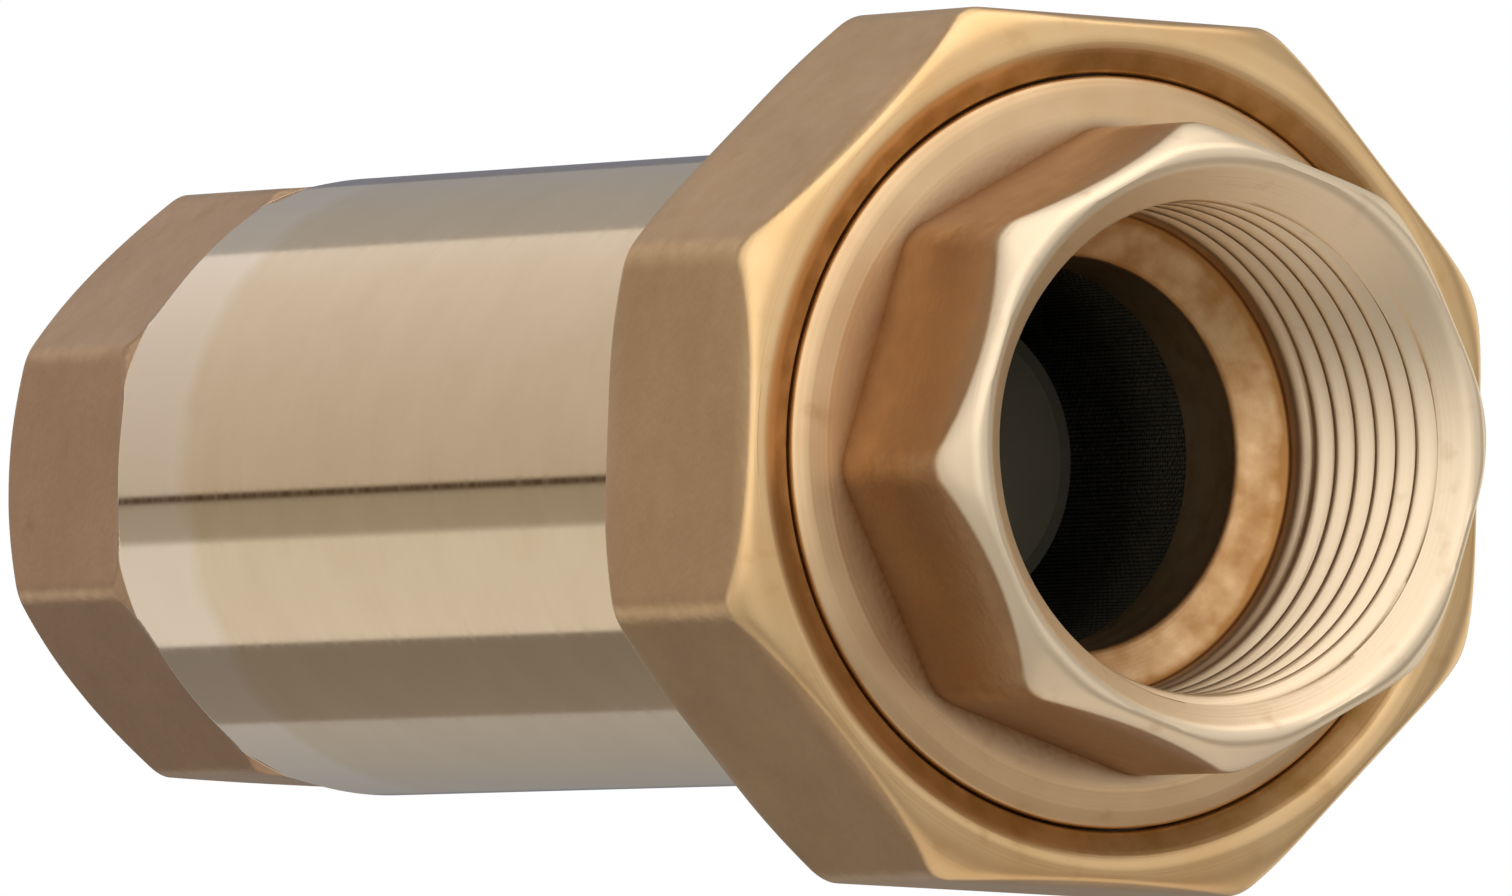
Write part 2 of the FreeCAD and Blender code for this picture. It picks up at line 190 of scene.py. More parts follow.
def octagon_reach(angle, flat_angle, apothem, rounding):
    """Distance from the axis to a round-cornered octagon, and how close the angle is to a corner."""
    from_flat = abs((angle - flat_angle + OCTANT / 2) % OCTANT - OCTANT / 2)
    from_corner = OCTANT / 2 - from_flat
    reach = apothem / math.cos(from_flat)
    centre = (apothem - rounding) / math.cos(OCTANT / 2)
    tangent_angle = math.atan2(rounding * math.sin(OCTANT / 2),
                               centre + rounding * math.cos(OCTANT / 2))
    if from_corner < tangent_angle:
        sideways = centre * math.sin(from_corner)
        reach = centre * math.cos(from_corner) + math.sqrt(rounding ** 2 - sideways ** 2)
    return reach, max(0.0, 1.0 - from_corner / (2.2 * tangent_angle))


def soft_lower(first, second, width):
    """The lower of two radii, with the crossing rounded over, and how near the crossing is."""
    closeness = max(0.0, width - abs(first - second)) / width
    return min(first, second) - closeness * closeness * width / 4, closeness


def forged_octagon(angle, radius, flat_angle, apothem, rounding, roll=0.0):
    """Trim a turned blank to a forged octagon with soft corners, rolled in by so much at its end."""
    reach, corner = octagon_reach(angle, flat_angle, apothem, rounding)
    trimmed, crossing = soft_lower(radius, reach - roll, 0.5)
    looks = {"forged": 0.5 + (radius - reach) / 0.3 - 3.5 * roll,
             "worn": max(0.35 * corner, crossing)}
    return trimmed, looks


def end_roll(depth, length, most):
    """How far a forged end rolls in, at a depth behind its face: a quarter of an ellipse."""
    left = min(1.0, max(0.0, 1.0 - depth / length))
    return most * (1.0 - math.sqrt(1.0 - left * left))


def ramp(value, low, high):
    """0 below the low value, 1 above the high one, straight in between."""
    return min(1.0, max(0.0, (value - low) / (high - low)))


def thread_wave(station, angle, pitch):
    """A right-hand thread's profile: 0 on one flank's crest, 1 in the groove beside it."""
    turns = station / pitch - angle / (2 * math.pi)
    saw = 1.0 - abs(2.0 * (turns % 1.0) - 1.0)
    return 0.35 * saw + 0.65 * (0.5 - 0.5 * math.cos(2 * math.pi * turns))


def port_rule(depth, angle, radius):
    """Tap a pipe port. The thread runs out before its seat, where old dope and scale stay."""
    fade = ramp(depth, 0.6, 1.8) * (1.0 - ramp(depth, PORT_THREAD_END - 1.4, PORT_THREAD_END))
    wave = thread_wave(depth, angle, PORT_PITCH) * fade
    groove = PORT_RADIUS + PORT_THREAD_DEPTH * wave
    cut = radius
    if 0.6 < depth < PORT_THREAD_END:
        cut = -soft_lower(-radius, -groove, 0.12)[0]
    stained = ramp(depth, PORT_SEAT, 17.2) * (1.0 - ramp(depth, 17.4, 17.9))
    seat = 0.44 * ramp(depth, 17.0, 17.6)
    looks = {"fresh_cut": 1.0 - ramp(depth, 17.0, 17.4), "tarnish_and_shade": max(0.8 * stained, seat)}
    return cut, looks


def port_corners(rim, towards):
    """Turning profile of a pipe port from its rim inwards: countersink, thread, seat, bore."""
    steps = [(0.0, PORT_MOUTH_RADIUS, 0.5, 14), (2.6, PORT_RADIUS, 0.0, 82),
             (PORT_SEAT, PORT_RADIUS, 0.0, 3), (17.3, PORT_RADIUS, 0.2, 10),
             (PORT_DEPTH, BORE_RADIUS, 0.4, 2)]
    return [(rim + towards * depth, radius, rounding, rows) for depth, radius, rounding, rows in steps]


def tail_rule(station, angle, radius):
    """Forge the tailpiece's octagon, tap its port, and darken the part that the nut hides with
    tarnish and painted shade.
    """
    if radius > TAIL_SKIN_RADIUS and station < TAIL_OCTAGON_END + 0.3:
        if radius > TAIL_BLANK + 0.05:
            return radius, {}
        roll = end_roll(station, TAIL_ROLL_LENGTH, TAIL_ROLL_DEPTH)
        shaped, looks = forged_octagon(angle, radius, TAIL_FLAT_ANGLE, TAIL_APOTHEM,
                                       TAIL_CORNER_ROUNDING, roll)
        looks["worn"] *= 1.0 - ramp(station, 9.0, 12.0)
        looks["fresh_cut"] = 1.0
        return shaped, looks
    if radius < TAIL_SKIN_RADIUS and station < PORT_DEPTH:
        return port_rule(station, angle, radius)
    # the part behind the nut and the spigot's bore are darkened: tarnish and painted shade
    return radius, {"tarnish_and_shade": 0.15 if radius < TAIL_SKIN_RADIUS else 0.7 * ramp(station, 15.5, 16.0)}


tailpiece = turn_on_lathe("threaded_tailpiece", port_corners(0.0, 1) + [
    # the spigot that enters the casing, and the flange's rear face
    (24.9, BORE_RADIUS, 0.3, 1), (24.9, 18.9, 0.4, 1), (18.9, 18.9, 0.0, 1), (18.9, 23.2, 0.15, 1),
    # the retaining ring's groove
    (17.6, 23.2, 0.1, 1), (17.6, 22.5, 0.0, 1), (15.9, 22.5, 0.0, 1), (15.9, 23.3, 0.1, 1),
    # the flange's front edge, and the round blank that the octagon is cut from
    (13.9, 23.3, 0.3, 3), (13.55, 22.4, 0.3, 6), (TAIL_OCTAGON_END, TAIL_BLANK, 0.0, 8),
    (12.5, TAIL_BLANK, 0.0, 6), (3.0, TAIL_BLANK, 0.0, 26), (0.0, 18.4, 0.45, 1)], TAIL_FLAT_ANGLE)
reshape(tailpiece, tail_rule)


def new_group(name, inputs, outputs):
    """A shader node group: inputs and outputs are (name, kind, default) and (name, kind)."""
    group = bpy.data.node_groups.new(name, "ShaderNodeTree")
    for socket_name, kind, default in inputs:
        group.interface.new_socket(socket_name, in_out="INPUT", socket_type=kind).default_value = default
    for socket_name, kind in outputs:
        group.interface.new_socket(socket_name, in_out="OUTPUT", socket_type=kind)
    return group, group.nodes.new("NodeGroupInput"), group.nodes.new("NodeGroupOutput")


def add_node(tree, kind, feeds, **settings):
    """Add a shader node. Each feed is a value or another node's output, by socket name or number."""
    node = tree.nodes.new(kind)
    for name, value in settings.items():
        setattr(node, name, value)
    for socket, value in feeds.items():
        if isinstance(value, bpy.types.NodeSocket):
            tree.links.new(value, node.inputs[socket])
        else:
            node.inputs[socket].default_value = value
    return node


def maths(tree, operation, first, second=0.0):
    """One step of arithmetic."""
    return add_node(tree, "ShaderNodeMath", {0: first, 1: second}, operation=operation).outputs[0]


def mix_colours(tree, factor, first, second):
    """The first colour where the factor is 0, the second where it is 1."""
    return add_node(tree, "ShaderNodeMix", {0: factor, 6: first, 7: second}, data_type="RGBA").outputs[2]


def mix_values(tree, factor, first, second):
    """The first value where the factor is 0, the second where it is 1."""
    return add_node(tree, "ShaderNodeMix", {0: factor, 2: first, 3: second}).outputs[0]


def rescale(tree, value, low, high, new_low=0.0, new_high=1.0):
    """Map a span of values onto another span, and clamp it there."""
    return add_node(tree, "ShaderNodeMapRange",
                    {0: value, 1: low, 2: high, 3: new_low, 4: new_high}).outputs[0]


def noise(tree, place, scale, detail=3.0):
    """Soft random clouds, 1/scale of a metre across."""
    return add_node(tree, "ShaderNodeTexNoise",
                    {"Vector": place, "Scale": scale, "Detail": detail}).outputs[0]


def own_place(tree):
    """Where a point lies on its own piece, in metres, so that a pattern moves with the piece."""
    return tree.nodes.new("ShaderNodeTexCoord").outputs["Object"]


def look_of(tree, name):
    """One of the surface looks that the modelling left on the mesh."""
    return add_node(tree, "ShaderNodeAttribute", {}, attribute_name=name).outputs["Fac"]


def make_blasted_skin():
    """Skin of a hot forging after shot blasting: shallow dimples, soft mottling, a dull even glow."""
    tree, given, result = new_group("blasted_skin", [
        ("Colour", "NodeSocketColor", (0.5, 0.3, 0.2, 1)),
        ("Dark colour", "NodeSocketColor", (0.3, 0.2, 0.1, 1)),
        ("Roughness", "NodeSocketFloat", 0.4)], [
        ("Colour", "NodeSocketColor"), ("Roughness", "NodeSocketFloat"), ("Height", "NodeSocketFloat")])
    place = own_place(tree)
    clouds = rescale(tree, noise(tree, place, 130.0, 4.0), 0.32, 0.68)
    blotches = noise(tree, place, 620.0, 3.0)
    dimples = add_node(tree, "ShaderNodeTexVoronoi", {"Vector": place, "Scale": 2300.0, "Smoothness": 0.6},
                       feature="SMOOTH_F1").outputs["Distance"]
    darkness = maths(tree, "ADD", maths(tree, "MULTIPLY", clouds, 0.55),
                     maths(tree, "MULTIPLY", blotches, 0.45))
    links = tree.links
    links.new(mix_colours(tree, darkness, given.outputs[0], given.outputs[1]), result.inputs[0])
    spread = maths(tree, "MULTIPLY", maths(tree, "SUBTRACT", blotches, 0.5), 0.22)
    links.new(maths(tree, "ADD", given.outputs[2], spread), result.inputs[1])
    links.new(maths(tree, "ADD", dimples, maths(tree, "MULTIPLY", blotches, 0.8)), result.inputs[2])
    return tree


def make_tool_marks():
    """Fine rings that a lathe tool leaves on faces and bores, with a soft bloom of handling."""
    tree, given, result = new_group("tool_marks", [
        ("Colour", "NodeSocketColor", (0.8, 0.6, 0.3, 1)),
        ("Dark colour", "NodeSocketColor", (0.6, 0.4, 0.2, 1)),
        ("Roughness", "NodeSocketFloat", 0.25)], [
        ("Colour", "NodeSocketColor"), ("Roughness", "NodeSocketFloat"), ("Height", "NodeSocketFloat")])
    place = own_place(tree)
    split = add_node(tree, "ShaderNodeSeparateXYZ", {0: place}).outputs
    radius = maths(tree, "SQRT", maths(tree, "ADD", maths(tree, "MULTIPLY", split[0], split[0]),
                                       maths(tree, "MULTIPLY", split[2], split[2])))
    along = add_node(tree, "ShaderNodeCombineXYZ", {0: radius, 1: split[1], 2: 0.0}).outputs[0]
    rings = noise(tree, along, 5200.0, 2.0)
    bands = noise(tree, along, 900.0, 2.0)
    bloom = rescale(tree, noise(tree, place, 210.0, 4.0), 0.35, 0.7)
    darkness = maths(tree, "ADD", maths(tree, "MULTIPLY", bloom, 0.6),
                     maths(tree, "MULTIPLY", bands, 0.3))
    links = tree.links
    links.new(mix_colours(tree, darkness, given.outputs[0], given.outputs[1]), result.inputs[0])
    spread = maths(tree, "MULTIPLY", maths(tree, "SUBTRACT", bands, 0.5), 0.16)
    links.new(maths(tree, "ADD", given.outputs[2], spread), result.inputs[1])
    links.new(rings, result.inputs[2])
    return tree


def make_tarnish_and_shade():
    """Orange-brown tarnish, which also stands as painted shade in grooves, corners and hollows, blotchy at
    its edge.
    """
    tree, given, result = new_group("tarnish_and_shade", [
        ("Colour", "NodeSocketColor", (0.8, 0.6, 0.3, 1)),
        ("Stain and shade", "NodeSocketColor", (0.3, 0.12, 0.03, 1))], [
        ("Colour", "NodeSocketColor"), ("Mask", "NodeSocketFloat")])
    patches = noise(tree, own_place(tree), 420.0, 4.0)
    amount = maths(tree, "ADD", look_of(tree, "tarnish_and_shade"), maths(tree, "SUBTRACT", patches, 0.62))
    mask = rescale(tree, amount, 0.0, 0.55)
    strength = maths(tree, "MULTIPLY", mask, 0.85)
    tree.links.new(mix_colours(tree, strength, given.outputs[0], given.outputs[1]), result.inputs[0])
    tree.links.new(mask, result.inputs[1])
    return tree


def make_worn_edge():
    """Brighter metal where handling and spanners rub the corners of a forging."""
    tree, given, result = new_group("worn_edge", [
        ("Colour", "NodeSocketColor", (0.5, 0.3, 0.2, 1)),
        ("Bright colour", "NodeSocketColor", (0.9, 0.7, 0.4, 1))], [
        ("Colour", "NodeSocketColor"), ("Mask", "NodeSocketFloat")])
    patches = noise(tree, own_place(tree), 900.0, 3.0)
    amount = maths(tree, "MULTIPLY", look_of(tree, "worn"), maths(tree, "ADD", patches, 0.35))
    mask = rescale(tree, amount, 0.15, 0.75)
    tree.links.new(mix_colours(tree, mask, given.outputs[0], given.outputs[1]), result.inputs[0])
    tree.links.new(mask, result.inputs[1])
    return tree


BLASTED_SKIN = make_blasted_skin()
TOOL_MARKS = make_tool_marks()
TARNISH_AND_SHADE = make_tarnish_and_shade()
WORN_EDGE = make_worn_edge()


def use_group(tree, group, feeds):
    """Place a shared effect in a material, with the material's own values."""
    return add_node(tree, "ShaderNodeGroup", feeds, node_tree=group).outputs


def new_material(name):
    """An empty material, its tree and its Principled shader."""
    material = bpy.data.materials.new(name)
    material.use_nodes = True
    return material, material.node_tree, material.node_tree.nodes["Principled BSDF"]


def brass_surface(tree, forged, forged_dark, turned, turned_dark, fresh, stain):
    """Colour, roughness and height of brass: blasted where forged, ringed where turned, pale in a
    thread, and darkened by tarnish and painted shade where the mesh marks it."""
    skin = use_group(tree, BLASTED_SKIN, {"Colour": forged, "Dark colour": forged_dark,
                                          "Roughness": 0.40})
    worn = use_group(tree, WORN_EDGE, {"Colour": skin["Colour"], "Bright colour": turned})
    marks = use_group(tree, TOOL_MARKS, {"Colour": turned, "Dark colour": turned_dark,
                                         "Roughness": 0.34})
    cut = mix_colours(tree, look_of(tree, "fresh_cut"), marks["Colour"], fresh)
    is_forged = look_of(tree, "forged")
    # tarnish and painted shade: the stain colour darkens grooves, hollows and hidden joints
    stained = use_group(tree, TARNISH_AND_SHADE, {"Colour": mix_colours(tree, is_forged, cut, worn["Colour"]),
                                        "Stain and shade": stain})
    turned_roughness = mix_values(tree, look_of(tree, "fresh_cut"), marks["Roughness"], 0.42)
    roughness = mix_values(tree, is_forged, turned_roughness,
                           mix_values(tree, worn["Mask"], skin["Roughness"], 0.30))
    height = mix_values(tree, is_forged, maths(tree, "MULTIPLY", marks["Height"], 0.6), skin["Height"])
    return stained["Colour"], mix_values(tree, stained["Mask"], roughness, 0.5), height


def wire_metal(tree, shader, colour, roughness, height, strength):
    """Feed a metal's colour, roughness and relief to its shader."""
    bump = add_node(tree, "ShaderNodeBump", {"Strength": strength, "Distance": 0.00005, "Height": height})
    tree.links.new(colour, shader.inputs["Base Color"])
    tree.links.new(roughness, shader.inputs["Roughness"])
    tree.links.new(bump.outputs[0], shader.inputs["Normal"])
    shader.inputs["Metallic"].default_value = 1.0


def brass_finish(name, **colours):
    """A brass material. Where each finish lies comes from the looks on the mesh."""
    material, tree, shader = new_material(name)
    wire_metal(tree, shader, *brass_surface(tree, **colours), strength=0.35)
    return material


tailpiece.data.materials.append(brass_finish(
    "tailpiece_brass", forged=(0.46, 0.28, 0.15, 1), forged_dark=(0.37, 0.215, 0.11, 1),
    turned=(0.84, 0.61, 0.38, 1), turned_dark=(0.72, 0.49, 0.28, 1), fresh=(0.90, 0.76, 0.58, 1),
    stain=(0.46, 0.21, 0.05, 1)))
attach(tailpiece, "tailpiece")
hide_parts("tailpiece")


# ------------------------------------------------------------------ union nut
# The large octagon, a hot forging shot-blasted on its flats and turned bright on both faces. Its front
# hole passes the tailpiece, and its fine thread pulls the union together on the casing's head.
NUT_FRONT = 12.9
NUT_SKIN_RADIUS = 26.2
NUT_APOTHEM = 27.0
NUT_BLANK = 29.6
NUT_CORNER_ROUNDING = 2.6
NUT_ROLL_LENGTH = 2.2
NUT_ROLL_DEPTH = 0.85
NUT_ROLL_START = 0.2
NUT_FACE_SLOPE = 0.2
NUT_FACE_WIDTH = 2.6
NUT_CONE_RADIUS = 25.3
NUT_HOLE_RADIUS = 23.42
NUT_HOLE_END = 15.9
NUT_RELIEF_RADIUS = 25.2
NUT_THREAD_FRONT = 19.3
NUT_REAR = 30.3
UNION_PITCH = 2.0
NUT_THREAD_CREST = 23.92
NUT_THREAD_DEPTH = 1.28


def nut_rule(station, angle, radius):
    """Forge the nut's octagon, darken the cone of its hole with tarnish and painted shade, and cut its
    thread.
    """
    if radius > NUT_SKIN_RADIUS:
        roll = end_roll(station - NUT_FRONT - NUT_ROLL_START, NUT_ROLL_LENGTH, NUT_ROLL_DEPTH)
        roll += end_roll(NUT_REAR - station, NUT_ROLL_LENGTH, 0.5)
        return forged_octagon(angle, radius, 0.0, NUT_APOTHEM, NUT_CORNER_ROUNDING, roll)
    if station < NUT_HOLE_END + 0.05:
        into_cone = NUT_CONE_RADIUS - radius
        # deeper into the cone the brass darkens: tarnish and painted shade in the recess
        return radius, {"tarnish_and_shade": 0.42 * ramp(into_cone, 0.2, 0.6) + 0.2 * ramp(into_cone, 0.6, 1.8)}
    if NUT_THREAD_FRONT < station < NUT_REAR - 0.4:
        fade = ramp(station, 19.4, 20.2)
        cut = NUT_THREAD_CREST + NUT_THREAD_DEPTH * thread_wave(station, angle, UNION_PITCH) * fade
        return max(radius, cut), {"fresh_cut": 0.5}
    # the rest of the nut's inside is darkened: tarnish and painted shade
    return radius, {"tarnish_and_shade": 0.4}


union_nut = turn_on_lathe("union_nut_forging", [
    # the round blank that the octagon is cut from, from the front face's edge to the rear face
    (NUT_FRONT + NUT_FACE_WIDTH * NUT_FACE_SLOPE, NUT_CONE_RADIUS + NUT_FACE_WIDTH, 1.2, 24),
    (15.4, NUT_BLANK, 0.0, 8), (28.0, NUT_BLANK, 0.0, 18), (NUT_REAR, 27.2, 0.3, 3),
    # the thread, its lead-in behind and its relief in front
    (NUT_REAR, NUT_RELIEF_RADIUS, 0.15, 3), (28.9, NUT_RELIEF_RADIUS, 0.0, 8),
    (28.0, NUT_THREAD_CREST, 0.0, 84), (NUT_THREAD_FRONT, NUT_THREAD_CREST, 0.0, 1),
    (19.2, NUT_RELIEF_RADIUS, 0.0, 1), (NUT_HOLE_END, NUT_RELIEF_RADIUS, 0.0, 1),
    # the lip that holds the retaining ring, and the cone in the front face
    (NUT_HOLE_END, NUT_HOLE_RADIUS, 0.1, 1), (14.1, NUT_HOLE_RADIUS, 0.35, 8),
    (NUT_FRONT, NUT_CONE_RADIUS, 0.75, 24)], 0.0)
reshape(union_nut, nut_rule)
# The nut's stain colour is also the painted shade in its front cone.
union_nut.data.materials.append(brass_finish(
    "nut_brass", forged=(0.64, 0.445, 0.265, 1), forged_dark=(0.52, 0.35, 0.20, 1),
    turned=(0.90, 0.65, 0.37, 1), turned_dark=(0.82, 0.54, 0.27, 1), fresh=(0.88, 0.74, 0.50, 1),
    stain=(0.48, 0.275, 0.08, 1)))
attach(union_nut, "union_nut")
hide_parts("union_nut")


# ------------------------------------------------------------------ casing
# One long forging: a threaded head inside the nut, a round barrel turned and polished bright under a
# thin nickel wash, and a blasted octagonal collar that holds the rear port.
LENGTH = (cad_high.y - cad_low.y) / MM
HEAD_FRONT = 20.7
HEAD_THREAD_TOP = 24.9
HEAD_THREAD_DEPTH = 1.2
HEAD_SKIN_RADIUS = 23.0
HEAD_THREAD_END = 29.3
SOCKET_RADIUS = 19.3
BASKET_BORE_RADIUS = 17.0
BARREL_START = 30.4
BARREL_RADIUS = 20.0
BARREL_SKIN_RADIUS = 18.0
COLLAR_FRONT = 103.3
COLLAR_APOTHEM = 19.0
COLLAR_BLANK = 20.9
COLLAR_CORNER_ROUNDING = 2.0
SKIN_FILLET = 2.5
SKIN_END = 104.4
PALE_START = 94.5
PALE_END = 96.5


def casing_rule(station, angle, radius):
    """Cut the head's thread, trim the collar to its octagon, polish the barrel and tap the port."""
    if radius > HEAD_SKIN_RADIUS and station < HEAD_THREAD_END + 0.1:
        fade = 1.0 - ramp(station, 28.4, 29.2)
        wave = thread_wave(station, angle, UNION_PITCH)
        cut = HEAD_THREAD_TOP - HEAD_THREAD_DEPTH * (1.0 - wave) * fade
        # the thread's roots darken: tarnish and painted shade in the grooves
        return min(radius, cut), {"fresh_cut": 0.6, "tarnish_and_shade": 0.3 * (1.0 - wave) * fade}
    if radius > BARREL_SKIN_RADIUS and station > SKIN_END - SKIN_FILLET:
        reach, corner = octagon_reach(angle, 0.0, COLLAR_APOTHEM, COLLAR_CORNER_ROUNDING)
        back = max(0.0, SKIN_END - station)
        skin = reach + SKIN_FILLET - math.sqrt(SKIN_FILLET ** 2 - back ** 2)
        trimmed = soft_lower(radius, skin, 0.16)[0]
        forged = 0.5 + (radius - skin) / 0.1 if radius < BARREL_RADIUS + 0.01 else 1.0
        worn = 0.3 * corner * ramp(station, COLLAR_FRONT + 1.0, COLLAR_FRONT + 3.0)
        return trimmed, {"forged": forged, "worn": worn, "polished": 1.0 - forged}
    if radius > BARREL_SKIN_RADIUS and station > BARREL_START - 0.1:
        return radius, {"polished": 1.0}
    if radius < BARREL_SKIN_RADIUS and station > LENGTH - PORT_DEPTH:
        return port_rule(LENGTH - station, -angle, radius)
    # the casing's inner bore is darkened: tarnish and painted shade inside
    return radius, {"tarnish_and_shade": 0.45 if radius < BARREL_SKIN_RADIUS else 0.0}


casing = turn_on_lathe("casing_forging", [
    # the threaded head, and the barrel behind it
    (HEAD_FRONT, 23.4, 0.2, 10), (22.2, HEAD_THREAD_TOP, 0.0, 60),
    (HEAD_THREAD_END, HEAD_THREAD_TOP, 0.0, 3), (BARREL_START, BARREL_RADIUS, 0.0, 4),
    (101.9, BARREL_RADIUS, 0.0, 16), (COLLAR_FRONT, BARREL_RADIUS, 0.0, 1),
    # the collar, which begins in a small cone
    (COLLAR_FRONT + 0.05, BARREL_RADIUS + 0.02, 0.0, 14), (105.3, COLLAR_BLANK, 0.0, 6),
    (116.2, COLLAR_BLANK, 0.0, 20), (LENGTH, 18.9, 0.3, 1)] + port_corners(LENGTH, -1) + [
    # the wide bore round the basket, and the socket that its rim hangs in
    (97.3, BORE_RADIUS, 0.3, 2), (97.3, BASKET_BORE_RADIUS, 0.0, 2), (26.2, BASKET_BORE_RADIUS, 0.2, 2),
    (26.2, SOCKET_RADIUS, 0.0, 1), (HEAD_FRONT, SOCKET_RADIUS, 0.3, 3)], 0.0)
reshape(casing, casing_rule)


def make_casing_finish():
    """Casing brass, and on the barrel a nickel-washed polish that turns paler by the collar."""
    material, tree, shader = new_material("casing_brass")
    colour, roughness, height = brass_surface(
        tree, forged=(0.56, 0.385, 0.255, 1), forged_dark=(0.46, 0.305, 0.195, 1),
        turned=(0.88, 0.70, 0.44, 1), turned_dark=(0.76, 0.57, 0.33, 1), fresh=(0.88, 0.76, 0.55, 1),
        stain=(0.36, 0.17, 0.04, 1))
    polish = use_group(tree, TOOL_MARKS, {
        "Colour": (0.83, 0.70, 0.52, 1), "Dark colour": (0.77, 0.64, 0.46, 1), "Roughness": 0.07})
    place = own_place(tree)
    along = add_node(tree, "ShaderNodeSeparateXYZ", {0: place}).outputs[1]
    wander = maths(tree, "MULTIPLY", noise(tree, place, 160.0, 2.0), 0.003)
    pale = rescale(tree, maths(tree, "ADD", along, wander), RIM_Y + PALE_START * MM,
                   RIM_Y + PALE_END * MM, 0.0, 0.5)
    bright = mix_colours(tree, pale, polish["Colour"], (0.95, 0.87, 0.80, 1))
    polished = look_of(tree, "polished")
    wire_metal(tree, shader, mix_colours(tree, polished, colour, bright),
               mix_values(tree, polished, roughness, polish["Roughness"]),
               mix_values(tree, polished, height, maths(tree, "MULTIPLY", polish["Height"], 0.05)), 0.35)
    return material


casing.data.materials.append(make_casing_finish())
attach(casing, "casing")
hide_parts("casing")


# ------------------------------------------------------------------ retaining ring and gasket
# A split ring of drawn spring wire sits in the flange's groove and carries the nut's pull. Behind the
# flange lies a flat black rubber gasket, cut from sheet.
def refinish(material, *nodes):
    """Give CAD nodes one finish all over."""
    for name in nodes:
        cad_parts[name].data.materials.clear()
        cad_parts[name].data.materials.append(material)


def metal_finish(name, colour, dark_colour, roughness, bump_strength):
    """Plain metal with tool marks."""
    material, tree, shader = new_material(name)
    marks = use_group(tree, TOOL_MARKS, {"Colour": colour, "Dark colour": dark_colour,
                                         "Roughness": roughness})
    wire_metal(tree, shader, marks["Colour"], marks["Roughness"], marks["Height"], bump_strength)
    return material


def moulded_finish(name, colour, dark_colour, roughness, grain_scale):
    """Moulded rubber or plastic: fine grain, faint clouds."""
    material, tree, shader = new_material(name)
    place = own_place(tree)
    grain = noise(tree, place, grain_scale, 3.0)
    clouds = noise(tree, place, 300.0, 3.0)
    bump = add_node(tree, "ShaderNodeBump", {"Strength": 0.4, "Distance": 0.00003, "Height": grain})
    tree.links.new(mix_colours(tree, clouds, colour, dark_colour), shader.inputs["Base Color"])
    tree.links.new(rescale(tree, grain, 0.3, 0.7, roughness - 0.07, roughness + 0.07),
                   shader.inputs["Roughness"])
    tree.links.new(bump.outputs[0], shader.inputs["Normal"])
    return material


refinish(metal_finish("drawn_spring_wire", (0.42, 0.40, 0.37, 1), (0.26, 0.24, 0.22, 1), 0.38, 0.3),
         "nut_retaining_ring")
rubber = moulded_finish("black_rubber", (0.022, 0.022, 0.023, 1), (0.012, 0.012, 0.012, 1), 0.62, 5200.0)
refinish(rubber, "union_gasket", "nose_cap_o_ring", "tail_cap_o_ring")


# ------------------------------------------------------------------ strainer basket
# Pressed and spot-welded stainless: a rim that hangs in the casing's socket, a slotted cage, a liner of
# woven wire inside it, and a closed end plate.
def make_woven_wire():
    """Plain woven stainless gauze, laid round the basket: wires over and under each other, with painted
    shade in the gaps.
    """
    material, tree, shader = new_material("woven_wire")
    place = own_place(tree)
    split = add_node(tree, "ShaderNodeSeparateXYZ", {0: place}).outputs
    turn = maths(tree, "ARCTAN2", split[0], split[2])
    around = maths(tree, "SINE", maths(tree, "MULTIPLY", turn, 150.0))
    along = maths(tree, "SINE", maths(tree, "MULTIPLY", split[1], 11000.0))
    weave = maths(tree, "MULTIPLY", around, along)
    height = rescale(tree, weave, -1.0, 1.0)
    # the gaps between the wires are painted near black: painted shade seen through the weave
    gap_shade = rescale(tree, maths(tree, "ABSOLUTE", weave), 0.0, 0.35)
    bump = add_node(tree, "ShaderNodeBump", {"Strength": 0.8, "Distance": 0.00008, "Height": height})
    tree.links.new(mix_colours(tree, gap_shade, (0.10, 0.10, 0.095, 1), (0.60, 0.59, 0.56, 1)),
                   shader.inputs["Base Color"])
    tree.links.new(rescale(tree, height, 0.0, 1.0, 0.42, 0.28), shader.inputs["Roughness"])
    tree.links.new(bump.outputs[0], shader.inputs["Normal"])
    shader.inputs["Metallic"].default_value = 1.0
    return material


stainless = metal_finish("satin_stainless", (0.62, 0.61, 0.59, 1), (0.50, 0.49, 0.47, 1), 0.30, 0.25)
refinish(stainless, "basket_rim", "basket_cage", "basket_end_plate")
refinish(make_woven_wire(), "strainer_liner")


# ------------------------------------------------------------------ magnet core
# Nickel-plated ring magnets and soft iron pole discs on one tie rod, sealed in a stainless sleeve by
# two dark moulded caps. The nose cap faces the water and shows through the front bore.
cap_plastic = moulded_finish("moulded_cap", (0.075, 0.078, 0.060, 1), (0.055, 0.058, 0.044, 1), 0.42, 3400.0)
refinish(cap_plastic, "core_nose_cap", "core_tail_cap")
refinish(stainless, "core_sleeve", "core_tie_rod", "core_lock_washer", "core_lock_nut")
nickel = metal_finish("bright_nickel", (0.68, 0.65, 0.60, 1), (0.60, 0.57, 0.52, 1), 0.14, 0.1)
soft_iron = metal_finish("bare_soft_iron", (0.40, 0.39, 0.37, 1), (0.27, 0.25, 0.23, 1), 0.36, 0.3)
refinish(nickel, *[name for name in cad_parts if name.startswith("magnet_")])
refinish(soft_iron, *[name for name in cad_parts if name.startswith("pole_disc_")])


# ------------------------------------------------------------------ studio
# A plain pale floor well below the filter, and one soft studio all round it. The studio is a set of
# lit panels: long ones behind, which the barrel mirrors as stripes, and broad ones in front.
FLOOR_Z = -0.125
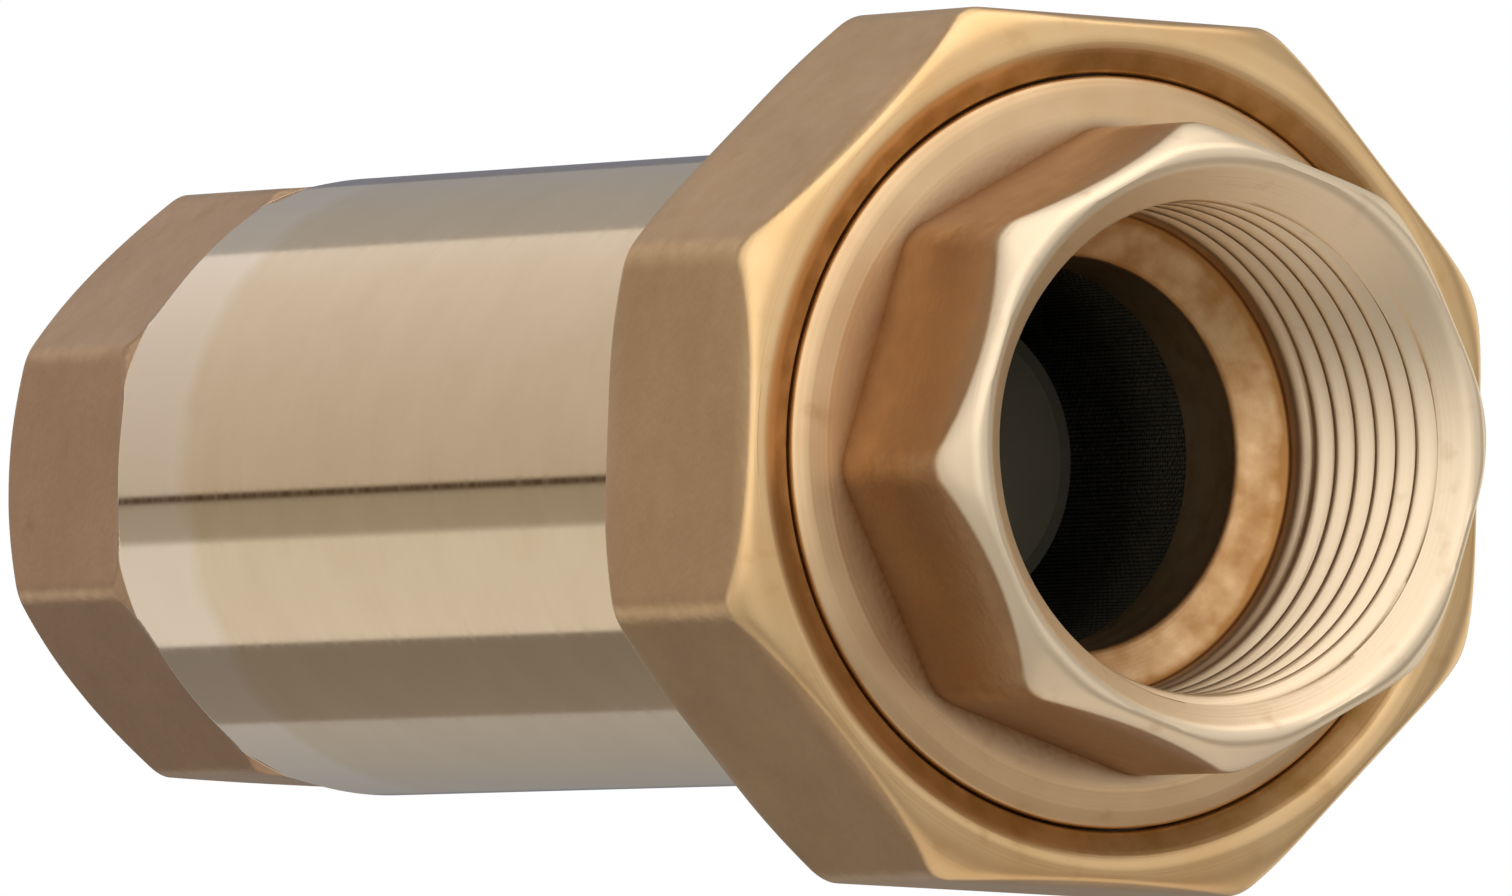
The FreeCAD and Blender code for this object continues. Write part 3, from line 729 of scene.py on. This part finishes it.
# Each stripe: from and to, in degrees about the pipe axis with 90 straight up, and its two end colours.
STRIPES = [
    (-180.0, -172.0, (0.22, 0.21, 0.22), (0.22, 0.21, 0.22)),
    (-172.0, -101.6, (0.28, 0.27, 0.26), (0.44, 0.42, 0.40)),
    (-101.6, -63.6, (0.26, 0.225, 0.19), (0.23, 0.20, 0.17)),
    (-63.6, -22.6, (0.74, 0.68, 0.62), (0.71, 0.66, 0.59)),
    (-22.6, -8.2, (0.39, 0.34, 0.28), (0.36, 0.31, 0.25)),
    (-8.2, -5.3, (0.08, 0.05, 0.03), (0.08, 0.05, 0.03)),
    (-5.3, 40.0, (0.54, 0.47, 0.40), (0.63, 0.56, 0.50)),
    (40.0, 96.4, (0.63, 0.56, 0.50), (0.80, 0.74, 0.70)),
    (96.4, 150.0, (0.42, 0.40, 0.38), (0.34, 0.33, 0.33)),
    (150.0, 180.0, (0.20, 0.20, 0.23), (0.20, 0.20, 0.23))]
# Each panel: the direction it lies in, how wide it is in radians, and its colour.
SOFT_PANELS = [
    ((0.20, 0.00, -0.97), 0.80, (0.74, 0.66, 0.57)),
    ((0.00, -0.25, 0.97), 0.70, (1.65, 1.56, 1.44)),
    ((-0.95, 0.10, -0.05), 0.75, (0.64, 0.59, 0.52)),
    ((0.88, 0.42, 0.05), 0.55, (1.02, 0.96, 0.82)),
    ((-0.52, -0.66, 0.50), 0.90, (1.30, 1.24, 1.14)),
    ((0.53, -0.82, 0.20), 0.46, (0.78, 0.75, 0.70)),
    ((0.45, -0.70, -0.55), 0.42, (0.42, 0.36, 0.30))]
ROOM_GLOW = (0.28, 0.27, 0.25)
EDGE_BLUR = 0.3


def make_studio():
    """Light the scene from all round. The camera itself sees plain white behind the filter."""
    world = bpy.data.worlds.new("studio")
    bpy.context.scene.world = world
    world.use_nodes = True
    tree = world.node_tree
    towards = tree.nodes.new("ShaderNodeTexCoord").outputs["Generated"]
    split = add_node(tree, "ShaderNodeSeparateXYZ", {0: towards}).outputs
    turn = maths(tree, "ARCTAN2", split[2], maths(tree, "MULTIPLY", split[0], -1.0))
    around = rescale(tree, turn, -math.pi, math.pi)
    stripes = add_node(tree, "ShaderNodeValToRGB", {0: around})
    stops = stripes.color_ramp.elements
    while len(stops) < 2 * len(STRIPES):
        stops.new(1.0)
    for number, (start, end, first_colour, last_colour) in enumerate(STRIPES):
        stops[2 * number].position = (start + 180 + EDGE_BLUR) / 360
        stops[2 * number].color = (*first_colour, 1)
        stops[2 * number + 1].position = (end + 180 - EDGE_BLUR) / 360
        stops[2 * number + 1].color = (*last_colour, 1)
    glow = (*ROOM_GLOW, 1)
    for direction, width, colour in SOFT_PANELS:
        facing = add_node(tree, "ShaderNodeVectorMath", {0: towards, 1: Vector(direction).normalized()},
                          operation="DOT_PRODUCT").outputs["Value"]
        amount = add_node(tree, "ShaderNodeMapRange", {
            0: facing, 1: math.cos(width * 1.3), 2: math.cos(width * 0.4)},
            interpolation_type="SMOOTHSTEP").outputs[0]
        glow = mix_colours(tree, amount, glow, (*colour, 1))
    behind = rescale(tree, split[1], 0.56, 0.70)
    seen = mix_colours(tree, behind, glow, stripes.outputs[0])
    straight_at = tree.nodes.new("ShaderNodeLightPath").outputs["Is Camera Ray"]
    final = mix_colours(tree, straight_at, seen, (1.0, 1.0, 1.0, 1))
    tree.links.new(final, tree.nodes["Background"].inputs[0])


make_studio()

bpy.ops.object.select_all(action="DESELECT")
bpy.ops.mesh.primitive_plane_add(size=8.0, location=(0, 0, FLOOR_Z))
floor = bpy.context.object
floor.name = "floor"
floor_paint, floor_tree, floor_shader = new_material("pale_floor")
floor_shader.inputs["Base Color"].default_value = (0.82, 0.82, 0.81, 1)
floor_shader.inputs["Roughness"].default_value = 0.8
floor.data.materials.append(floor_paint)
floor.visible_glossy = False
